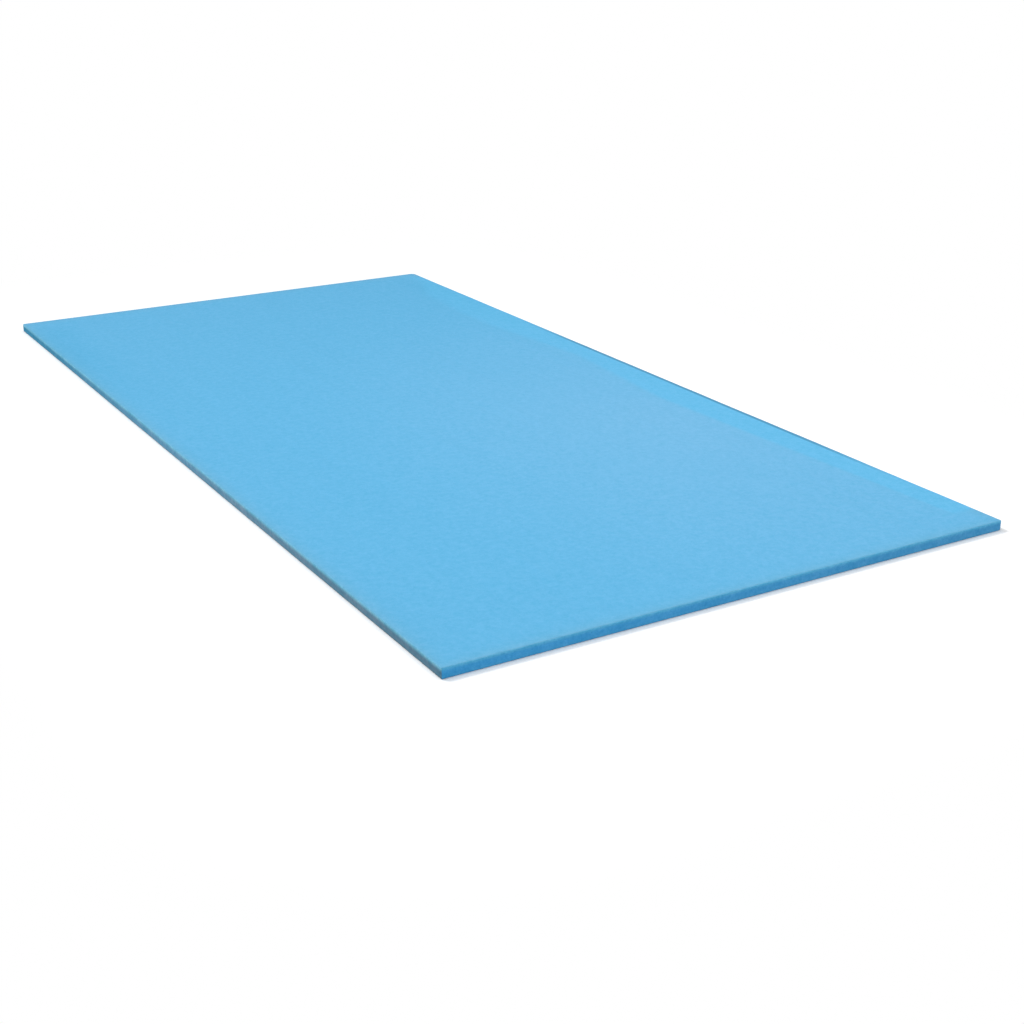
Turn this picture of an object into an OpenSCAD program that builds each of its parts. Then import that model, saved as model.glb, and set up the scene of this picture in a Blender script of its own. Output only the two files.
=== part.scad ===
// Extruded polystyrene insulation board: one flat sheet of rigid closed-cell foam
// with square butt edges all round.
//
// The board lies flat, with X across its width, Y along its length and Z through its
// thickness. The origin is the middle of its underside.

/* [Board] */
// Length of the board, along its long edges
board_length = 1200; // [600:10:3000]
// Width of the board, along its short edges
board_width = 600; // [300:10:1250]
// Thickness of the board, from face to face
board_thickness = 10; // [6:1:100]

/* [Edges] */
// Radius that softens each arris, where an edge meets a face
arris_radius = 0.8; // [0.2:0.1:1.4]

/* [Corners] */
// Radius in plan of the front left corner, which is crisp
front_left_radius = 1.5; // [1.5:0.5:40]
// Radius in plan of the front right corner, which is a little rubbed
front_right_radius = 3; // [1.5:0.5:40]
// Radius in plan of the back right corner, which handling has blunted
back_right_radius = 8; // [1.5:0.5:40]
// Radius in plan of the back left corner, which is nearly crisp
back_left_radius = 2; // [1.5:0.5:40]

/* [Hidden] */

$fn = 96;

// The sides are numbered anticlockwise from the front one, and each corner has the
// number of the side that starts at it.
corner_radii = [
    front_left_radius,
    front_right_radius,
    back_right_radius,
    back_left_radius
];
last_side = len(corner_radii) - 1;
quarter_turn = 90;

// Half of the board's size along a side, and half of its size square to that side
function half_along(side) = (side % 2 == 0 ? board_width : board_length) / 2;
function half_across(side) = (side % 2 == 0 ? board_length : board_width) / 2;

// Radii of the corners where a side starts and where it stops
function start_radius(side) = corner_radii[side];
function stop_radius(side) = corner_radii[side == last_side ? 0 : side + 1];

// Upright section of the board, from the line x = 0 out to an edge at x = reach, with
// both arrises of the edge rounded
module edge_section(reach) {
    intersection() {
        square([reach, board_thickness]);
        union() {
            square([reach - arris_radius, board_thickness]);
            translate([0, arris_radius])
                square([reach, board_thickness - 2 * arris_radius]);
            for (height = [arris_radius, board_thickness - arris_radius])
                translate([reach - arris_radius, height])
                    circle(r = arris_radius);
        }
    }
}

// The slab between the middle of the board and one side, without that side's corners.
// It is drawn with the side at the front.
module side_slab(side) {
    run = 2 * half_along(side) - start_radius(side) - stop_radius(side);
    translate([half_along(side) - stop_radius(side), 0, 0])
        rotate([quarter_turn, 0, -quarter_turn])
            linear_extrude(run)
                edge_section(half_across(side));
}

// The round of the corner where a side starts: a disc whose rim has the section of the
// edges. It is drawn with the side at the front.
module corner_round(side) {
    radius = start_radius(side);
    translate([radius - half_along(side), radius - half_across(side), 0])
        rotate_extrude()
            edge_section(radius);
}

// The whole board
module board() {
    color([0.435, 0.741, 0.914])
        for (side = [0:last_side])
            rotate([0, 0, quarter_turn * side]) {
                side_slab(side);
                corner_round(side);
            }
}

board();
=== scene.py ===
"""Studio picture of one extruded polystyrene insulation board.

The board is a flat sheet of blue closed-cell foam. Its two faces are planed smooth and
its four edges are cut square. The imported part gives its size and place, and this script
gives it its fine shape and its finish, and sets the floor, the lamps and the camera.
"""

import logging
import math
from collections.abc import Callable, Sequence
from dataclasses import dataclass, field
from enum import Enum

import bmesh
import bpy
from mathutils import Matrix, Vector


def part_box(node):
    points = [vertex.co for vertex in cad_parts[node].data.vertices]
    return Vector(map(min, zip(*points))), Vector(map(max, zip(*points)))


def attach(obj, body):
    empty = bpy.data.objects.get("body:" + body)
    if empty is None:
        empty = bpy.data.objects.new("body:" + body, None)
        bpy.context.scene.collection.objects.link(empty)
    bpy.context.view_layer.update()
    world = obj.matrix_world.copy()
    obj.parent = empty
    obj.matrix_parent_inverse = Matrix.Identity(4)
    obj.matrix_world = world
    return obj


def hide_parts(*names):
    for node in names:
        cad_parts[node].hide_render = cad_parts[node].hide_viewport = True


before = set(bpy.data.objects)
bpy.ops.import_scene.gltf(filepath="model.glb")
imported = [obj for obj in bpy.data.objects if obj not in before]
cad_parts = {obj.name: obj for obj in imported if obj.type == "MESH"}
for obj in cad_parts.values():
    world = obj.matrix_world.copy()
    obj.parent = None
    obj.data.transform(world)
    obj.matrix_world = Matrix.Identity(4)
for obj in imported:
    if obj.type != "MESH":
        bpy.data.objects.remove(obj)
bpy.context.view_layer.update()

MM = 0.001
# Places closer together than this count as one
NEAR = 0.01 * MM
# The value that a soft random pattern lies about
MIDDLE = 0.5

Pair = tuple[float, float]
Colour = tuple[float, float, float]
Triple = tuple[float, float, float]
Socket = bpy.types.NodeSocket

log = logging.getLogger("board")


class Corner(Enum):
    """The corners of the board in plan, each as its side in X and its side in Y."""

    FRONT_LEFT = (-1, -1)
    FRONT_RIGHT = (1, -1)
    BACK_RIGHT = (1, 1)
    BACK_LEFT = (-1, 1)


class Axis(Enum):
    """The frame's axes, as directions."""

    X = (1.0, 0.0, 0.0)
    Y = (0.0, 1.0, 0.0)
    Z = (0.0, 0.0, 1.0)


# ---------------------------------------------------------------------------
# Materials


@dataclass(frozen=True)
class Pattern:
    """A soft random pattern, and what it does to a colour."""

    # Size of one blotch, and how many times longer it is along X, Y and Z
    width: float
    stretch: Triple = (1.0, 1.0, 1.0)
    # How many finer layers are added, each half the size of the one before, and the
    # strength of each as a share of the one before
    layers: float = 2.0
    keep: float = 0.5
    # How far red, green and blue each move from the pattern's lowest value to its highest
    swing: Triple = (0.0, 0.0, 0.0)
    # Moves the pattern by so many blotches, so that no two lie alike
    offset: float = 0.0


class Wiring:
    """Builds the nodes of one material or world, with a method for each kind of step."""

    def __init__(self, owner: bpy.types.Material | bpy.types.World) -> None:
        """Clear the owner's nodes.

        Args:
            owner: The new material or world.
        """
        owner.use_nodes = True
        self.tree = owner.node_tree
        self.tree.nodes.clear()

    def add(self, kind: str, **settings: object) -> bpy.types.Node:
        """Add a node.

        Args:
            kind: The node's type.
            settings: Values for the node's own properties.

        Returns:
            The new node.
        """
        node = self.tree.nodes.new(kind)
        for name, value in settings.items():
            setattr(node, name, value)
        return node

    def feed(self, socket: Socket, value: object) -> None:
        """Link a socket to another one, or set its value.

        Args:
            socket: The socket that takes the value.
            value: A socket to link from, a number or a tuple.
        """
        if isinstance(value, Socket):
            self.tree.links.new(value, socket)
        else:
            socket.default_value = value

    def maths(self, operation: str, *values: object) -> Socket:
        """Combine one to three numbers.

        Args:
            operation: The sum to do, as the node names it.
            values: The numbers or sockets that go in.

        Returns:
            The socket that holds the result.
        """
        node = self.add("ShaderNodeMath", operation=operation)
        for socket, value in zip(node.inputs, values):
            self.feed(socket, value)
        return node.outputs[0]

    def step(self, value: Socket, low: float, high: float) -> Socket:
        """Rise smoothly from 0 to 1.

        Args:
            value: The socket that is read.
            low: Where the rise starts.
            high: Where it stops, which may be under low for a fall.

        Returns:
            The socket that holds the result.
        """
        node = self.add("ShaderNodeMapRange", interpolation_type="SMOOTHSTEP")
        falls = high < low
        settings = (value, min(low, high), max(low, high), float(falls), float(not falls))
        for socket, setting in zip(node.inputs, settings):
            self.feed(socket, setting)
        return node.outputs[0]

    def noise(self, vector: Socket, pattern: Pattern) -> Socket:
        """Give soft random values about one half.

        Args:
            vector: The place that is read, in metres.
            pattern: The size and make-up of the blotches.

        Returns:
            The socket that holds the value.
        """
        mapping = self.add("ShaderNodeMapping")
        self.feed(mapping.inputs["Vector"], vector)
        self.feed(mapping.inputs["Location"], (pattern.offset,) * 3)
        self.feed(mapping.inputs["Scale"], tuple(1 / (pattern.width * part) for part in pattern.stretch))
        node = self.add("ShaderNodeTexNoise")
        self.feed(node.inputs["Vector"], mapping.outputs[0])
        self.feed(node.inputs["Scale"], 1.0)
        self.feed(node.inputs["Detail"], pattern.layers)
        self.feed(node.inputs["Roughness"], pattern.keep)
        return node.outputs["Fac"]

    def patch(self, vector: Socket, middle: Triple, reach: Triple) -> Socket:
        """Fade from 1 at one point to 0 on an oval round it.

        Args:
            vector: The place that is read, in metres.
            middle: The point.
            reach: How far the fade goes along X, Y and Z.

        Returns:
            The socket that holds the fade.
        """
        offset = self.add("ShaderNodeVectorMath", operation="SUBTRACT")
        self.feed(offset.inputs[0], vector)
        self.feed(offset.inputs[1], middle)
        share = self.add("ShaderNodeVectorMath", operation="DIVIDE")
        self.feed(share.inputs[0], offset.outputs["Vector"])
        self.feed(share.inputs[1], reach)
        length = self.add("ShaderNodeVectorMath", operation="LENGTH")
        self.feed(length.inputs[0], share.outputs["Vector"])
        return self.step(length.outputs["Value"], 1.0, 0.0)

    def cells(self, vector: Socket, width: float) -> Socket:
        """Give the distance from the middle of the nearest of many packed cells.

        Args:
            vector: The place that is read, in metres.
            width: Width of a cell in metres.

        Returns:
            The socket that holds 0 in the middle of a cell and about 1 at its wall.
        """
        node = self.add("ShaderNodeTexVoronoi", feature="F1")
        self.feed(node.inputs["Vector"], vector)
        self.feed(node.inputs["Scale"], 1 / width)
        return node.outputs["Distance"]

    def blend(self, amount: object, first: object, second: object) -> Socket:
        """Mix two colours.

        Args:
            amount: 0 for the first colour and 1 for the second.
            first: A colour or a socket.
            second: A colour or a socket.

        Returns:
            The socket that holds the mixed colour.
        """
        node = self.add("ShaderNodeMix", data_type="RGBA")
        self.feed(node.inputs["Factor"], amount)
        self.feed(node.inputs["A"], first if isinstance(first, Socket) else (*first, 1.0))
        self.feed(node.inputs["B"], second if isinstance(second, Socket) else (*second, 1.0))
        return next(s for s in node.outputs if s.type == "RGBA")

    def ramp(self, value: Socket, stops: tuple[tuple[float, Colour], ...]) -> Socket:
        """Pick a colour from a row of them.

        Args:
            value: The socket that is read, from 0 to 1.
            stops: Each colour, after the value that gives it.

        Returns:
            The socket that holds the colour.
        """
        node = self.add("ShaderNodeValToRGB")
        band = node.color_ramp.elements
        while len(band) < len(stops):
            band.new(1.0)
        for element, (place, colour) in zip(band, stops):
            element.position = place
            element.color = (*colour, 1.0)
        self.feed(node.inputs[0], value)
        return node.outputs["Color"]

    def vary(self, colour: Socket, value: Socket, swing: Triple, middle: float = MIDDLE) -> Socket:
        """Let a colour rise and fall with a value.

        Args:
            colour: The colour's socket.
            value: The value's socket.
            swing: How far red, green and blue each move for a whole unit of the value.
            middle: The value that changes nothing.

        Returns:
            The socket that holds the varied colour.
        """
        factor = self.add("ShaderNodeVectorMath", operation="MULTIPLY_ADD")
        self.feed(factor.inputs[0], value)
        self.feed(factor.inputs[1], swing)
        self.feed(factor.inputs[2], tuple(1 - part * middle for part in swing))
        varied = self.add("ShaderNodeVectorMath", operation="MULTIPLY")
        self.feed(varied.inputs[0], colour)
        self.feed(varied.inputs[1], factor.outputs[0])
        return varied.outputs[0]

    def mottle(self, colour: Socket, vector: Socket, pattern: Pattern) -> Socket:
        """Let a colour rise and fall with a pattern.

        Args:
            colour: The colour's socket.
            vector: The place that is read, in metres.
            pattern: The pattern.

        Returns:
            The socket that holds the mottled colour.
        """
        return self.vary(colour, self.noise(vector, pattern), pattern.swing)

    def keep_between(self, amount: Socket, value: Socket, rise: Sequence[float],
                     fall: Sequence[float]) -> Socket:
        """Keep an amount between two places, and fade it out beyond them.

        Args:
            amount: The amount's socket.
            value: The socket that says where a point lies.
            rise: Where the amount starts to come in, and where it is all there.
            fall: Where it has gone again, and where it was last all there.

        Returns:
            The socket that holds the result.
        """
        for ends in (rise, fall):
            amount = self.maths("MULTIPLY", amount, self.step(value, *ends))
        return amount

    def in_view(self) -> Socket:
        """Tell apart the rays that make up the picture, straight on or by gloss or glass.

        Returns:
            The socket that holds 1 for those rays and 0 for the rest.
        """
        rays = self.add("ShaderNodeLightPath")
        seen = rays.outputs["Is Camera Ray"]
        for name in ("Is Glossy Ray", "Is Transmission Ray"):
            seen = self.maths("MAXIMUM", seen, rays.outputs[name])
        return seen

    def finish(self, kind: str, shader: Socket) -> None:
        """Send a shader to the surface.

        Args:
            kind: The type of the output node.
            shader: The last shader's socket.
        """
        self.feed(self.add(kind).inputs["Surface"], shader)


@dataclass(frozen=True)
class FoamFinish:
    """The look of the blue foam: planed faces, cut edges and arrises, with painted sheen, glow and shade.
    """

    # The blue of the planed faces, a paler one that paints a sheen of reflected light, and a duller
    # one along their borders, which slide over the next board in a stack
    face_colour: Colour = (0.126, 0.465, 0.760)
    sheen_colour: Colour = (0.173, 0.489, 0.774)
    border_colour: Colour = (0.149, 0.438, 0.668)
    # The more saturated blue of the strip along the right-hand edge, painted where the face shows
    # less sheen, and of the line along that arris, which paints the shade of its rounding
    low_sheen_strip_colour: Colour = (0.134, 0.500, 0.806)
    shade_line_colour: Colour = (0.077, 0.312, 0.520)
    # The deeper blue of the cut edges, which dulls a little towards the right
    edge_colour: Colour = (0.077, 0.462, 0.935)
    dull_edge_colour: Colour = (0.092, 0.430, 0.820)
    # The film on the long edges, partly dust and partly painted reflection and shade, by how far
    # along it lies from the front to the back
    dust_and_shade_film_colours: tuple[tuple[float, Colour], ...] = (
        (0.0, (0.188, 0.364, 0.510)),
        (0.35, (0.247, 0.495, 0.710)),
        (0.5, (0.223, 0.550, 0.840)),
        (1.0, (0.078, 0.443, 0.745)),
    )
    # The paler blues towards the arrises of the short and the long edges, a painted glow that stands
    # in for light getting into the foam from two sides, and how far from the arris each fades out
    arris_glow_colour: Colour = (0.140, 0.585, 0.925)
    long_arris_glow_colour: Colour = (0.280, 0.755, 1.000)
    glow_reach: float = 4 * MM
    long_glow_reach: float = 4.8 * MM
    # How much of that painted glow the lower arrises keep, which less light gets into
    lower_glow: float = 0.2
    # The patterns in the faces: clouds in the painted sheen, streaks of the planer and the grain
    sheen_clouds: Pattern = Pattern(260 * MM, layers=1.0, offset=3.7)
    streaks: Pattern = Pattern(9 * MM, stretch=(1.0, 40.0, 1.0), swing=(0.035, 0.035, 0.035))
    grain: Pattern = Pattern(6 * MM, layers=3.0, keep=0.85, swing=(0.85, 0.28, 0.21))
    # The patterns in the cut edges: dust, specks of crumbled foam and marks of the cutter
    dust: Pattern = Pattern(30 * MM, layers=5.0, keep=1.0, offset=1.3, swing=(1.50, 0.50, 0.34))
    specks: Pattern = Pattern(3.2 * MM, keep=0.8, offset=5.1, swing=(0.85, 0.42, 0.22))
    marks: Pattern = Pattern(0.9 * MM, stretch=(60.0, 60.0, 1.0), layers=3.0, swing=(0.2, 0.16, 0.16))
    # How much stronger the dust is on the long edges
    dust_gain: float = 0.35
    # The cells of the foam, and the few larger bubbles that lie open, darkened by painted shade
    cell_width: float = 0.4 * MM
    cell_swing: Triple = (-0.20, -0.18, -0.16)
    pit_spacing: float = 8 * MM
    pit_radius: float = 0.4 * MM
    pit_shade_swing: Triple = (-0.5, -0.4, -0.3)
    # Where the painted sheen is strongest, how far it reaches from there, and its strength where a
    # cloud is thinnest and how much more it has where one is thickest
    sheen_middle: Triple = (0.21, -0.22, 0.0)
    sheen_reach: Triple = (0.43, 0.64, 1.0)
    sheen_least: float = 0.7
    sheen_rise: float = 0.6
    # How far in the dullness of the borders reaches
    border_depth: float = 7 * MM
    # Width of the strip, by how far along it lies from the front to the back
    strip_widths: tuple[Pair, ...] = (
        (0.03, 27 * MM),
        (0.40, 50 * MM),
        (0.57, 33 * MM),
        (0.73, 54 * MM),
        (0.80, 54 * MM),
        (0.89, 45 * MM),
        (0.95, 18 * MM),
    )
    # How far its side fades out on either side of that width, at the front and at the back of
    # the board, and how far from the front and from the back it starts and is at full strength
    strip_fades: Pair = (3 * MM, 10 * MM)
    strip_front: Pair = (30 * MM, 42 * MM)
    strip_back: Pair = (15 * MM, 35 * MM)
    # The sides towards the back that are painted with less sheen: how far in from the long edges
    # they start and have least, the same along the board from its middle, and what they do to the colour
    low_sheen_insets: Pair = (75 * MM, 15 * MM)
    low_sheen_rise: Pair = (50 * MM, 450 * MM)
    low_sheen_fall: Pair = (590 * MM, 520 * MM)
    low_sheen_swing: Triple = (-0.12, -0.03, -0.02)
    # Width of the painted shade line, the share of it that fades in, its middle and half length
    # along the board, and the heights on the arris between which it appears
    line_width: float = 7 * MM
    line_fade: float = 0.3
    line_middle: float = -100 * MM
    line_half: float = 400 * MM
    line_heights: Pair = (5 * MM, 9 * MM)
    # How far a side faces up or down where the look of a face starts to give way to that of
    # an edge, and where it has given way
    edge_tilts: Pair = (0.95, 0.4)
    # How far an edge faces along X where the look of a short edge starts to give way to that
    # of a long one, and where it has given way
    long_edge_tilts: Pair = (0.5, 0.8)
    # Shine of the faces and of the cut edges
    roughness: float = 0.68
    cut_roughness: float = 0.93
    specular: float = 0.08
    # The planer's fine ridges, and the cells, which stand out more on the cut edges
    ridges: Pattern = Pattern(3 * MM, stretch=(1.0, 40.0, 1.0))
    ridge_strength: float = 0.25
    ridge_depth: float = 0.04 * MM
    cell_strength: float = 0.3
    cut_cell_strength: float = 0.7
    cell_depth: float = 0.06 * MM

    def make(self, low: Vector, high: Vector) -> bpy.types.Material:
        """Make the material.

        Args:
            low: The board's lowest corner.
            high: The board's highest corner.

        Returns:
            The foam material.
        """
        foam = bpy.data.materials.new("blue_foam")
        wiring = Wiring(foam)
        place = wiring.add("ShaderNodeTexCoord")
        at = place.outputs["Object"]
        facing = wiring.add("ShaderNodeSeparateXYZ")
        wiring.feed(facing.inputs[0], place.outputs["Normal"])
        spot = wiring.add("ShaderNodeSeparateXYZ")
        wiring.feed(spot.inputs[0], at)

        cut = wiring.step(wiring.maths("ABSOLUTE", facing.outputs["Z"]), *self.edge_tilts)
        sideways = wiring.step(wiring.maths("ABSOLUTE", facing.outputs["X"]), *self.long_edge_tilts)
        cells = wiring.cells(at, self.cell_width)

        face = self._face_colour(wiring, at, spot, low, high)
        edge = self._edge_colour(wiring, at, spot, sideways, low, high)
        colour = wiring.blend(cut, face, edge)
        # Painted shade along the upper right-hand arris, whose rounding turns away from the light
        colour = wiring.blend(self._shade_line(wiring, spot, high), colour, self.shade_line_colour)
        colour = wiring.vary(colour, cells, self.cell_swing)
        # Painted shade in the open bubbles
        colour = wiring.vary(colour, self._pits(wiring, at), self.pit_shade_swing, middle=0.0)

        shader = wiring.add("ShaderNodeBsdfPrincipled")
        wiring.feed(shader.inputs["Base Color"], colour)
        wiring.feed(shader.inputs["Specular IOR Level"], self.specular)
        rise = self.cut_roughness - self.roughness
        wiring.feed(shader.inputs["Roughness"], wiring.maths("MULTIPLY_ADD", cut, rise, self.roughness))
        wiring.feed(shader.inputs["Normal"], self._relief(wiring, at, cells, cut))
        wiring.finish("ShaderNodeOutputMaterial", shader.outputs[0])
        return foam

    def _face_colour(self, wiring: Wiring, at: Socket, spot: bpy.types.Node,
                     low: Vector, high: Vector) -> Socket:
        """Colour the planed faces, with faint streaks and grain, a painted sheen in faint clouds, and
        places with less painted sheen.

        Args:
            wiring: The material's wiring.
            at: The place on the board.
            spot: The same place, split into X, Y and Z.
            low: The board's lowest corner.
            high: The board's highest corner.

        Returns:
            The socket that holds the colour.
        """
        # Painted sheen: a paler blue in clouds over a broad patch, standing in for reflected light
        sheen_clouds = wiring.noise(at, self.sheen_clouds)
        sheen_patch = wiring.patch(at, self.sheen_middle, self.sheen_reach)
        sheen = wiring.maths("MULTIPLY_ADD", sheen_clouds, self.sheen_rise, self.sheen_least)
        sheen = wiring.maths("MULTIPLY", sheen, sheen_patch)
        colour = wiring.blend(sheen, self.face_colour, self.sheen_colour)
        colour = wiring.blend(self._border(wiring, spot, low, high), colour, self.border_colour)
        # The strip is painted with less of the reflected sheen
        colour = wiring.blend(self._strip(wiring, spot, low, high), colour, self.low_sheen_strip_colour)
        # Less of the painted sheen's pale red near the long edges towards the back
        colour = wiring.vary(colour, self._low_sheen_sides(wiring, spot, high), self.low_sheen_swing, middle=0.0)
        colour = wiring.mottle(colour, at, self.streaks)
        return wiring.mottle(colour, at, self.grain)

    def _border(self, wiring: Wiring, spot: bpy.types.Node, low: Vector, high: Vector) -> Socket:
        """Find how near a place on a face is to the border.

        Args:
            wiring: The material's wiring.
            spot: The place on the board, split into X, Y and Z.
            low: The board's lowest corner.
            high: The board's highest corner.

        Returns:
            The socket that holds 1 at the border and fades to 0 inwards.
        """
        insets = []
        for name, middle, half in (("X", (low.x + high.x) / 2, (high.x - low.x) / 2),
                                   ("Y", (low.y + high.y) / 2, (high.y - low.y) / 2)):
            off = wiring.maths("ABSOLUTE", wiring.maths("SUBTRACT", spot.outputs[name], middle))
            insets.append(wiring.maths("SUBTRACT", half, off))
        inset = wiring.maths("MAXIMUM", wiring.maths("MINIMUM", *insets), 0.0)
        return wiring.maths("EXPONENT", wiring.maths("DIVIDE", inset, -self.border_depth))

    def _strip(self, wiring: Wiring, spot: bpy.types.Node, low: Vector, high: Vector) -> Socket:
        """Find the strip along the right-hand edge, painted with less sheen than the rest of the face,
        whose width wanders.

        Args:
            wiring: The material's wiring.
            spot: The place on the board, split into X, Y and Z.
            low: The board's lowest corner.
            high: The board's highest corner.

        Returns:
            The socket that holds 1 on the strip and 0 off it.
        """
        along = wiring.maths("DIVIDE", wiring.maths("SUBTRACT", spot.outputs["Y"], low.y), high.y - low.y)
        # Each stop's colour is a grey whose value is the width in metres
        width = wiring.ramp(along, tuple((place, (wide,) * 3) for place, wide in self.strip_widths))
        sharp, soft = self.strip_fades
        fade = wiring.maths("MULTIPLY_ADD", along, soft - sharp, sharp)
        inset = wiring.maths("SUBTRACT", high.x, spot.outputs["X"])
        within = wiring.maths("DIVIDE", wiring.maths("SUBTRACT", width, inset), fade)
        across = wiring.step(within, -1.0, 1.0)
        front = [low.y + depth for depth in self.strip_front]
        back = [high.y - depth for depth in self.strip_back]
        return wiring.keep_between(across, spot.outputs["Y"], front, back)

    def _low_sheen_sides(self, wiring: Wiring, spot: bpy.types.Node, high: Vector) -> Socket:
        """Find where the face has least of the painted sheen, near the long edges towards the back.

        Args:
            wiring: The material's wiring.
            spot: The place on the board, split into X, Y and Z.
            high: The board's highest corner.

        Returns:
            The socket that holds 1 where the painted sheen is least and 0 off them.
        """
        off_middle = wiring.maths("ABSOLUTE", spot.outputs["X"])
        across = wiring.step(off_middle, *(high.x - inset for inset in self.low_sheen_insets))
        return wiring.keep_between(across, spot.outputs["Y"], self.low_sheen_rise, self.low_sheen_fall)

    def _shade_line(self, wiring: Wiring, spot: bpy.types.Node, high: Vector) -> Socket:
        """Find the line of painted shade along the upper right-hand arris, whose rounding turns away from
        the light.

        Args:
            wiring: The material's wiring.
            spot: The place on the board, split into X, Y and Z.
            high: The board's highest corner.

        Returns:
            The socket that holds 1 on the line and 0 off it.
        """
        start = high.x - self.line_width
        across = wiring.step(spot.outputs["X"], start, start + self.line_width * self.line_fade)
        above = wiring.step(spot.outputs["Z"], *self.line_heights)
        off_middle = wiring.maths("ABSOLUTE", wiring.maths("SUBTRACT", spot.outputs["Y"], self.line_middle))
        along = wiring.step(off_middle, self.line_half, self.line_half / 2)
        return wiring.maths("MULTIPLY", wiring.maths("MULTIPLY", across, above), along)

    def _edge_colour(self, wiring: Wiring, at: Socket, spot: bpy.types.Node, sideways: Socket,
                     low: Vector, high: Vector) -> Socket:
        """Colour the cut edges: cutting marks, dust, a film of dust and painted reflection and shade on the
        long ones, and painted glow at the arrises.

        Args:
            wiring: The material's wiring.
            at: The place on the board.
            spot: The same place, split into X, Y and Z.
            sideways: 1 on the long edges and 0 on the short ones.
            low: The board's lowest corner.
            high: The board's highest corner.

        Returns:
            The socket that holds the colour.
        """
        dulled = wiring.step(spot.outputs["X"], low.x, high.x)
        colour = wiring.blend(dulled, self.edge_colour, self.dull_edge_colour)
        along = wiring.maths("DIVIDE", wiring.maths("SUBTRACT", spot.outputs["Y"], low.y), high.y - low.y)
        # The film paints the long sides' reflection and shade as well as their dust
        colour = wiring.blend(sideways, colour, wiring.ramp(along, self.dust_and_shade_film_colours))
        half = (high.z - low.z) / 2
        off_middle = wiring.maths("ABSOLUTE", wiring.maths("SUBTRACT", spot.outputs["Z"], low.z + half))
        reach = wiring.maths("MULTIPLY_ADD", sideways, self.long_glow_reach - self.glow_reach, self.glow_reach)
        depth = wiring.maths("SUBTRACT", half, off_middle)
        glow = wiring.step(wiring.maths("DIVIDE", depth, reach), 1.0, 0.0)
        upper = wiring.step(spot.outputs["Z"], low.z + half / 2, low.z + half)
        glow = wiring.maths("MULTIPLY", glow, wiring.maths("MAXIMUM", upper, self.lower_glow))
        glow_tint = wiring.blend(sideways, self.arris_glow_colour, self.long_arris_glow_colour)
        # Painted glow towards the arrises, in place of light scattered through the foam
        colour = wiring.blend(glow, colour, glow_tint)
        strength = wiring.maths("MULTIPLY_ADD", sideways, self.dust_gain, 1.0)
        dust = wiring.maths("SUBTRACT", wiring.noise(at, self.dust), MIDDLE)
        dust = wiring.maths("MULTIPLY", dust, strength)
        colour = wiring.vary(colour, dust, self.dust.swing, middle=0.0)
        colour = wiring.mottle(colour, at, self.specks)
        return wiring.mottle(colour, at, self.marks)

    def _pits(self, wiring: Wiring, at: Socket) -> Socket:
        """Find the small open bubbles that are scattered over every side.

        Args:
            wiring: The material's wiring.
            at: The place on the board.

        Returns:
            The socket that holds 1 in a bubble and 0 outside them.
        """
        distance = wiring.cells(at, self.pit_spacing)
        radius = self.pit_radius / self.pit_spacing
        return wiring.step(distance, radius, radius / 2)

    def _relief(self, wiring: Wiring, at: Socket, cells: Socket, cut: Socket) -> Socket:
        """Press the foam's cells and its planing and cutting marks into the surface.

        Args:
            wiring: The material's wiring.
            at: The place on the board.
            cells: The distance from the middle of each cell.
            cut: 1 on the cut edges and 0 on the faces.

        Returns:
            The socket that holds the bumped normal.
        """
        planed = wiring.add("ShaderNodeBump")
        wiring.feed(planed.inputs["Strength"], self.ridge_strength)
        wiring.feed(planed.inputs["Distance"], self.ridge_depth)
        wiring.feed(planed.inputs["Height"], wiring.noise(at, self.ridges))
        pitted = wiring.add("ShaderNodeBump")
        rise = self.cut_cell_strength - self.cell_strength
        wiring.feed(pitted.inputs["Strength"], wiring.maths("MULTIPLY_ADD", cut, rise, self.cell_strength))
        wiring.feed(pitted.inputs["Distance"], self.cell_depth)
        wiring.feed(pitted.inputs["Height"], cells)
        wiring.feed(pitted.inputs["Normal"], planed.outputs[0])
        return pitted.outputs[0]


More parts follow.
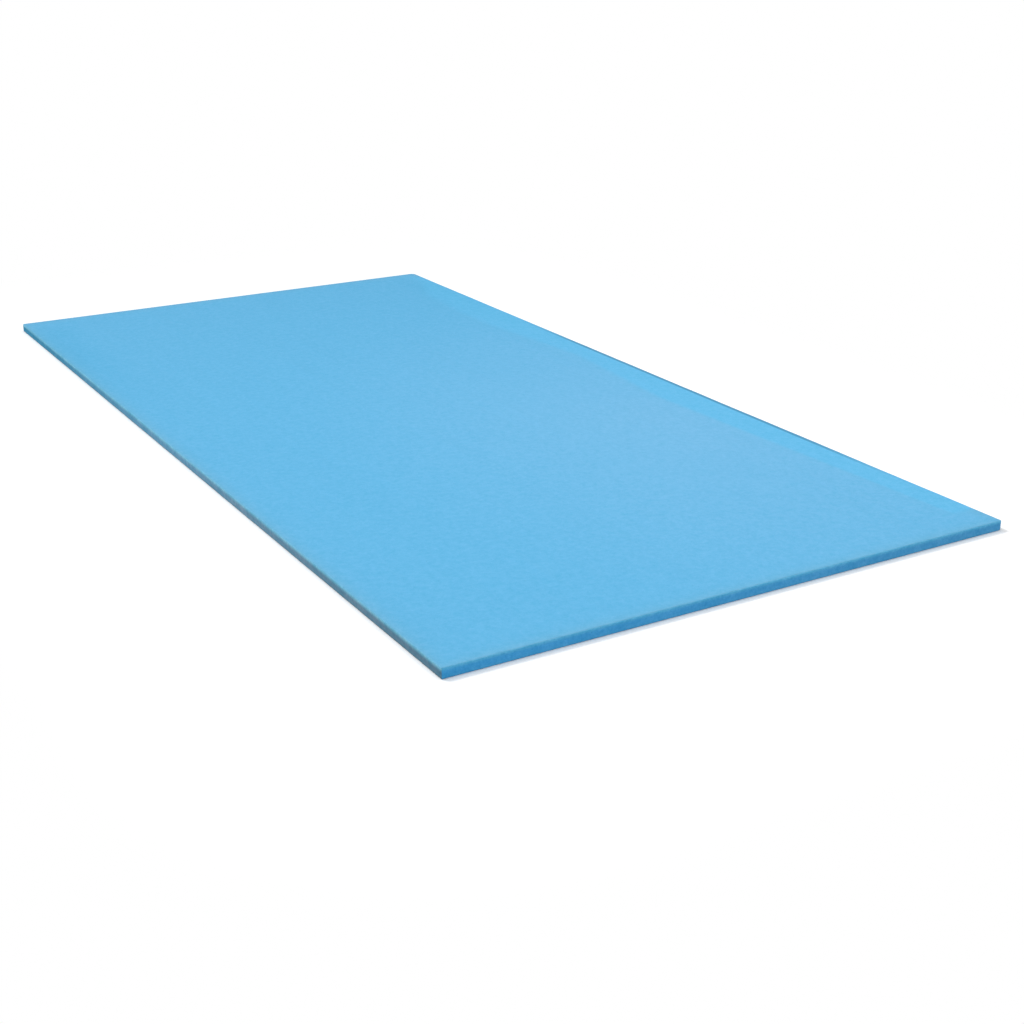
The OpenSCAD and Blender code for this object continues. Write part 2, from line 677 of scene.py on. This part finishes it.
@dataclass(frozen=True)
class FloorFinish:
    """A plain pale floor that looks white and keeps the board's soft shadow."""

    # How much of the white a shadow can take away, and the light that counts as unshaded
    shadow_depth: float = 0.95
    shadow_gain: float = 1.10
    # Distances from the board between which its shadow ends and the floor is plain white
    shadow_near: float = 60 * MM
    shadow_far: float = 300 * MM
    # What the floor sends back up on to the board
    bounce_colour: Colour = (0.34, 0.34, 0.34)

    def make(self, low: Vector, high: Vector) -> bpy.types.Material:
        """Make the material.

        Args:
            low: The board's lowest corner.
            high: The board's highest corner.

        Returns:
            The floor material.
        """
        floor = bpy.data.materials.new("pale_floor")
        wiring = Wiring(floor)
        white = wiring.add("ShaderNodeEmission")
        matt = wiring.add("ShaderNodeBsdfDiffuse")
        wiring.feed(matt.inputs["Color"], (self.shadow_gain, self.shadow_gain, self.shadow_gain, 1.0))
        shown = wiring.add("ShaderNodeMixShader")
        near = self._near_board(wiring, low, high)
        wiring.feed(shown.inputs[0], wiring.maths("MULTIPLY", near, self.shadow_depth))
        wiring.feed(shown.inputs[1], white.outputs[0])
        wiring.feed(shown.inputs[2], matt.outputs[0])
        bounce = wiring.add("ShaderNodeBsdfDiffuse")
        wiring.feed(bounce.inputs["Color"], (*self.bounce_colour, 1.0))
        both = wiring.add("ShaderNodeMixShader")
        wiring.feed(both.inputs[0], wiring.in_view())
        wiring.feed(both.inputs[1], bounce.outputs[0])
        wiring.feed(both.inputs[2], shown.outputs[0])
        wiring.finish("ShaderNodeOutputMaterial", both.outputs[0])
        return floor

    def _near_board(self, wiring: Wiring, low: Vector, high: Vector) -> Socket:
        """Find how near a place on the floor is to the board's outline.

        Args:
            wiring: The material's wiring.
            low: The board's lowest corner.
            high: The board's highest corner.

        Returns:
            The socket that holds 1 beside the board and 0 out on the open floor.
        """
        place = wiring.add("ShaderNodeTexCoord")
        spot = wiring.add("ShaderNodeSeparateXYZ")
        wiring.feed(spot.inputs[0], place.outputs["Object"])
        squares = []
        for name, side_low, side_high in (("X", low.x, high.x), ("Y", low.y, high.y)):
            middle, half = (side_low + side_high) / 2, (side_high - side_low) / 2
            off = wiring.maths("ABSOLUTE", wiring.maths("SUBTRACT", spot.outputs[name], middle))
            past = wiring.maths("MAXIMUM", wiring.maths("SUBTRACT", off, half), 0.0)
            squares.append(wiring.maths("MULTIPLY", past, past))
        distance = wiring.maths("SQRT", wiring.maths("ADD", *squares))
        return wiring.step(distance, self.shadow_far, self.shadow_near)


# ---------------------------------------------------------------------------
# The board


def pick_edges(piece: bpy.types.Object, wanted: Callable[[bmesh.types.BMEdge], bool]) -> None:
    """Select only the edges that pass a test, in edit mode.

    Args:
        piece: The object in edit mode.
        wanted: The test, which is given each edge.
    """
    bpy.ops.mesh.select_all(action="DESELECT")
    for edge in bmesh.from_edit_mesh(piece.data).edges:
        if wanted(edge):
            edge.select_set(True)
    bmesh.update_edit_mesh(piece.data)


def slice_across(axis: Axis, place: float) -> None:
    """Cut the whole mesh in edit mode with one flat plane, and keep both sides.

    Args:
        axis: The axis that the plane is square to.
        place: Where the plane crosses that axis.
    """
    direction = Vector(axis.value)
    bpy.ops.mesh.select_all(action="SELECT")
    bpy.ops.mesh.bisect(plane_co=direction * place, plane_no=direction, threshold=NEAR)


def apply_modifier(piece: bpy.types.Object, modifier: bpy.types.Modifier) -> None:
    """Apply one modifier.

    Args:
        piece: The object that has it.
        modifier: The modifier.
    """
    bpy.context.view_layer.objects.active = piece
    bpy.ops.object.modifier_apply(modifier=modifier.name)


class Zone(Enum):
    """The parts of the board that a relief can be kept to."""

    EVERYWHERE = ""
    # The cut edges and all the arrises
    RIM = "rim"
    # The arrises alone
    ARRISES = "arrises"
    # The arrises of the two long edges, and a little of what lies beside them
    LONG_ARRISES = "long_arrises"


@dataclass(frozen=True)
class Relief:
    """A fine unevenness, which only ever takes material away."""

    name: str
    # How deep the hollows are at most, and how wide
    depth: float
    width: float
    # How many times longer each hollow is along the board than across it
    stretch: float = 1.0
    # How many times finer hollows are laid over the first ones
    layers: int = 2
    zone: Zone = Zone.EVERYWHERE
    # Whether the hollows are a few single nicks, with the surface left alone between them,
    # and how far the pattern is then stretched and lifted, so that only its lows are left
    sparse: bool = False
    sparse_contrast: float = 5.0
    sparse_lift: float = 2.0

    def press(self, piece: bpy.types.Object) -> None:
        """Press the unevenness into a piece.

        Args:
            piece: The piece, in object mode.
        """
        guide = bpy.data.objects.new(self.name, None)
        bpy.context.scene.collection.objects.link(guide)
        guide.scale = (1.0, self.stretch, 1.0)
        pattern = bpy.data.textures.new(self.name, type="CLOUDS")
        pattern.noise_scale = self.width
        pattern.noise_depth = self.layers
        pattern.use_clamp = True
        if self.sparse:
            pattern.contrast = self.sparse_contrast
            pattern.intensity = self.sparse_lift
        modifier = piece.modifiers.new(self.name, "DISPLACE")
        modifier.mid_level = 1.0
        modifier.strength = self.depth
        modifier.texture = pattern
        modifier.texture_coords = "OBJECT"
        modifier.texture_coords_object = guide
        modifier.vertex_group = self.zone.value
        bpy.context.view_layer.update()
        apply_modifier(piece, modifier)
        bpy.data.objects.remove(guide)
        bpy.data.textures.remove(pattern)


@dataclass
class FoamBoard:
    """The board: one sheet of foam with planed faces and square cut edges."""

    low: Vector
    high: Vector
    arris_radius: float = 0.8 * MM
    arris_steps: int = 5
    corner_steps: int = 8
    corner_radii: dict[Corner, float] = field(default_factory=lambda: {
        Corner.FRONT_LEFT: 1.5 * MM,
        Corner.FRONT_RIGHT: 3 * MM,
        Corner.BACK_RIGHT: 8 * MM,
        Corner.BACK_LEFT: 2 * MM,
    })
    # Spacing of the mesh across the board, along it, through it and along its rim
    pitch_across: float = 10 * MM
    pitch_along: float = 20 * MM
    pitch_through: float = 2 * MM
    rim_pitch: float = 1.0 * MM
    # Distance from an arris to the line that keeps the flat beside it flat, and how much of
    # an arris's wear reaches that line
    guard: float = 0.9 * MM
    guard_wear: float = 0.2
    # Points that the cuts leave closer together than this become one
    smallest_gap: float = 0.05 * MM
    # Angle up to which two faces are shaded as one
    smooth_angle: float = math.radians(40)
    reliefs: tuple[Relief, ...] = (
        Relief("sway", depth=0.12 * MM, width=90 * MM, stretch=2.0),
        Relief("rubbing", depth=0.4 * MM, width=45 * MM, zone=Zone.LONG_ARRISES),
        Relief("cutting", depth=0.18 * MM, width=7 * MM, zone=Zone.RIM),
        Relief("crumbling", depth=0.12 * MM, width=2.5 * MM, zone=Zone.RIM),
        Relief("nicks", depth=0.2 * MM, width=9 * MM, zone=Zone.ARRISES, sparse=True),
    )
    finish: FoamFinish = FoamFinish()
    piece: bpy.types.Object = field(init=False)

    @property
    def size(self) -> Vector:
        """The board's width, length and thickness."""
        return self.high - self.low

    def build(self) -> bpy.types.Object:
        """Model the board and dress it.

        Returns:
            The finished board.
        """
        self._add_block()
        bpy.ops.object.mode_set(mode="EDIT")
        bpy.context.tool_settings.mesh_select_mode = (False, True, False)
        self._round_corners()
        self._soften_arrises()
        self._divide_faces()
        self._divide_rim()
        bpy.ops.object.mode_set(mode="OBJECT")
        self._mark_zones()
        for relief in self.reliefs:
            relief.press(self.piece)
        self._smooth()
        self.piece.data.materials.append(self.finish.make(self.low, self.high))
        return self.piece

    def _add_block(self) -> None:
        """Add a square-cornered block of the board's size and place."""
        bpy.ops.object.select_all(action="DESELECT")
        middle = (self.low + self.high) / 2
        bpy.ops.mesh.primitive_cube_add(size=1, location=middle, scale=self.size)
        self.piece = bpy.context.object
        self.piece.name = "foam_board"
        self.piece.data.name = "foam_board"
        bpy.ops.object.transform_apply(location=True, rotation=True, scale=True)

    def _round_corners(self) -> None:
        """Round each corner in plan by its own radius."""
        for corner, radius in self.corner_radii.items():
            along = Vector((*corner.value, 0))
            tip = Vector((self.high.x * corner.value[0], self.high.y * corner.value[1], 0))

            def at_tip(edge: bmesh.types.BMEdge) -> bool:
                """Tell whether an edge is the corner's upright one."""
                return all((vert.co - tip).dot(along) > -NEAR for vert in edge.verts)

            pick_edges(self.piece, at_tip)
            self._bevel(radius, self.corner_steps)

    def _soften_arrises(self) -> None:
        """Round the arrises all round both faces."""

        def on_one_face(edge: bmesh.types.BMEdge) -> bool:
            """Tell whether an edge lies in the upper or the lower face."""
            heights = [vert.co.z for vert in edge.verts]
            return max(heights) < self.low.z + NEAR or min(heights) > self.high.z - NEAR

        pick_edges(self.piece, on_one_face)
        self._bevel(self.arris_radius, self.arris_steps)

    def _bevel(self, radius: float, steps: int) -> None:
        """Round the selected edges.

        Args:
            radius: The radius of the round.
            steps: How many flats make it up.
        """
        bpy.ops.mesh.bevel(offset=radius, segments=steps, profile=0.5, affect="EDGES", clamp_overlap=False)

    def _divide_faces(self) -> None:
        """Cut the mesh into a grid that is fine enough to hold the unevenness."""
        keep_off = self.arris_radius + self.guard
        for axis, low, high, pitch in (
            (Axis.X, self.low.x, self.high.x, self.pitch_across),
            (Axis.Z, self.low.z, self.high.z, self.pitch_through),
            (Axis.Y, self.low.y, self.high.y, self.pitch_along),
        ):
            slice_across(axis, low + keep_off)
            slice_across(axis, high - keep_off)
            count = round((high - low) / pitch)
            for i in range(1, count):
                slice_across(axis, low + (high - low) * i / count)

    def _divide_rim(self) -> None:
        """Cut the rim more finely along its length than the faces are, and join close points."""
        inner_x = self.high.x - self.arris_radius - NEAR
        inner_y = self.high.y - self.arris_radius - NEAR
        for cuts, across, limit, wide in (
            (round(self.pitch_across / self.rim_pitch) - 1, 1, inner_y, 0),
            (round(self.pitch_along / self.rim_pitch) - 1, 0, inner_x, 1),
        ):

            def along_rim(edge: bmesh.types.BMEdge) -> bool:
                """Tell whether an edge runs along this pair of sides.

                Args:
                    edge: The edge.

                Returns:
                    True if it does, and is longer than the rim's spacing.
                """
                start, end = (vert.co for vert in edge.verts)
                on_rim = min(abs(start[across]), abs(end[across])) > limit
                return on_rim and abs(end[wide] - start[wide]) > self.rim_pitch

            pick_edges(self.piece, along_rim)
            bpy.ops.mesh.subdivide(number_cuts=cuts, quadcorner="PATH")
        bpy.ops.mesh.select_all(action="SELECT")
        bpy.ops.mesh.remove_doubles(threshold=self.smallest_gap)

    def _mark_zones(self) -> None:
        """Put the points in groups, by the zones of the reliefs that move them."""
        zones = {zone: self.piece.vertex_groups.new(name=zone.value) for zone in Zone if zone.value}
        edge = self.arris_radius - NEAR
        for vert in self.piece.data.vertices:
            in_x = self.high.x - abs(vert.co.x)
            in_y = self.high.y - abs(vert.co.y)
            in_z = min(vert.co.z - self.low.z, self.high.z - vert.co.z)
            if min(in_x, in_y) < edge:
                zones[Zone.RIM].add([vert.index], 1.0, "REPLACE")
            near = sorted((min(in_x, in_y), in_z))[1]
            if near < edge:
                zones[Zone.ARRISES].add([vert.index], 1.0, "REPLACE")
            wear = 1.0 if near < edge + 2 * NEAR else self.guard_wear
            if in_x <= in_y and near < self.arris_radius + self.guard + NEAR:
                zones[Zone.LONG_ARRISES].add([vert.index], wear, "REPLACE")

    def _smooth(self) -> None:
        """Clear the groups and shade the board smooth, as its arrises are round."""
        self.piece.vertex_groups.clear()
        bpy.ops.object.shade_smooth_by_angle(angle=self.smooth_angle)


# ---------------------------------------------------------------------------
# The studio


@dataclass(frozen=True)
class Lamp:
    """A square soft lamp, aimed at a point."""

    name: str
    place: Triple
    target: Triple
    # Length of its sides in metres, and its power in watts
    side: float
    power: float

    def hang(self) -> None:
        """Add the lamp to the scene."""
        light = bpy.data.lights.new(self.name, type="AREA")
        light.shape = "SQUARE"
        light.size = self.side
        light.energy = self.power
        lamp = bpy.data.objects.new(self.name, light)
        bpy.context.scene.collection.objects.link(lamp)
        lamp.location = self.place
        aim = Vector(self.target) - Vector(self.place)
        lamp.rotation_euler = aim.to_track_quat("-Z", "Y").to_euler()


@dataclass
class Studio:
    """The floor, the lamps, the air round them and the camera."""

    low: Vector
    high: Vector
    floor_side: float = 60.0
    floor_finish: FloorFinish = FloorFinish()
    sky_strength: float = 0.35
    lamps: tuple[Lamp, ...] = (
        Lamp("overhead", place=(0.05, -0.45, 1.6), target=(0.05, -0.45, 0.0), side=1.5, power=10.5),
        Lamp("back_left", place=(-2.8, 4.0, 6.3), target=(0.0, 0.0, 0.0), side=2.0, power=310.0),
        Lamp("low_front", place=(0.1, -2.9, 0.45), target=(0.0, -0.6, 0.0), side=1.0, power=14.0),
    )
    # Where the camera stands, how many degrees it turns right of straight back and dips under
    # the level, and its focal length in millimetres
    camera_place: Triple = (-0.8125, -1.5684, 0.5659)
    camera_heading: float = 30.72
    camera_dip: float = 21.35
    camera_lens: float = 56.31

    def build(self) -> None:
        """Set up the whole studio."""
        self._lay_floor()
        self._fill_air()
        for lamp in self.lamps:
            lamp.hang()
            log.info("lamp %s hung", lamp.name)
        self._place_camera()
        bpy.context.scene.view_settings.view_transform = "Standard"

    def _lay_floor(self) -> None:
        """Lay the floor under the board."""
        bpy.ops.object.select_all(action="DESELECT")
        bpy.ops.mesh.primitive_plane_add(size=self.floor_side)
        floor = bpy.context.object
        floor.name = "studio_floor"
        floor.data.materials.append(self.floor_finish.make(self.low, self.high))

    def _fill_air(self) -> None:
        """Give even light from all round, which the camera sees as plain white."""
        world = bpy.data.worlds.new("studio_air")
        wiring = Wiring(world)
        rise = 1.0 - self.sky_strength
        air = wiring.add("ShaderNodeBackground")
        wiring.feed(air.inputs["Color"], (1.0, 1.0, 1.0, 1.0))
        wiring.feed(air.inputs["Strength"],
                    wiring.maths("MULTIPLY_ADD", wiring.in_view(), rise, self.sky_strength))
        wiring.finish("ShaderNodeOutputWorld", air.outputs[0])
        bpy.context.scene.world = world

    def _place_camera(self) -> None:
        """Place the camera, which looks down on the board across its near corner."""
        camera = bpy.data.cameras.new("camera")
        camera.lens = self.camera_lens
        holder = bpy.data.objects.new("camera", camera)
        bpy.context.scene.collection.objects.link(holder)
        holder.location = self.camera_place
        upright = math.radians(90 - self.camera_dip)
        holder.rotation_euler = (upright, 0.0, -math.radians(self.camera_heading))
        bpy.context.scene.camera = holder


def main() -> None:
    """Build the board and the studio round it."""
    logging.basicConfig(level=logging.INFO, format="%(name)s: %(message)s")
    low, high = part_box("board")
    board = FoamBoard(low, high).build()
    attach(board, "root")
    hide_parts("board")
    log.info("%s: %d faces", board.name, len(board.data.polygons))
    Studio(low, high).build()
    log.info("studio built")


if __name__ == "__main__":
    main()
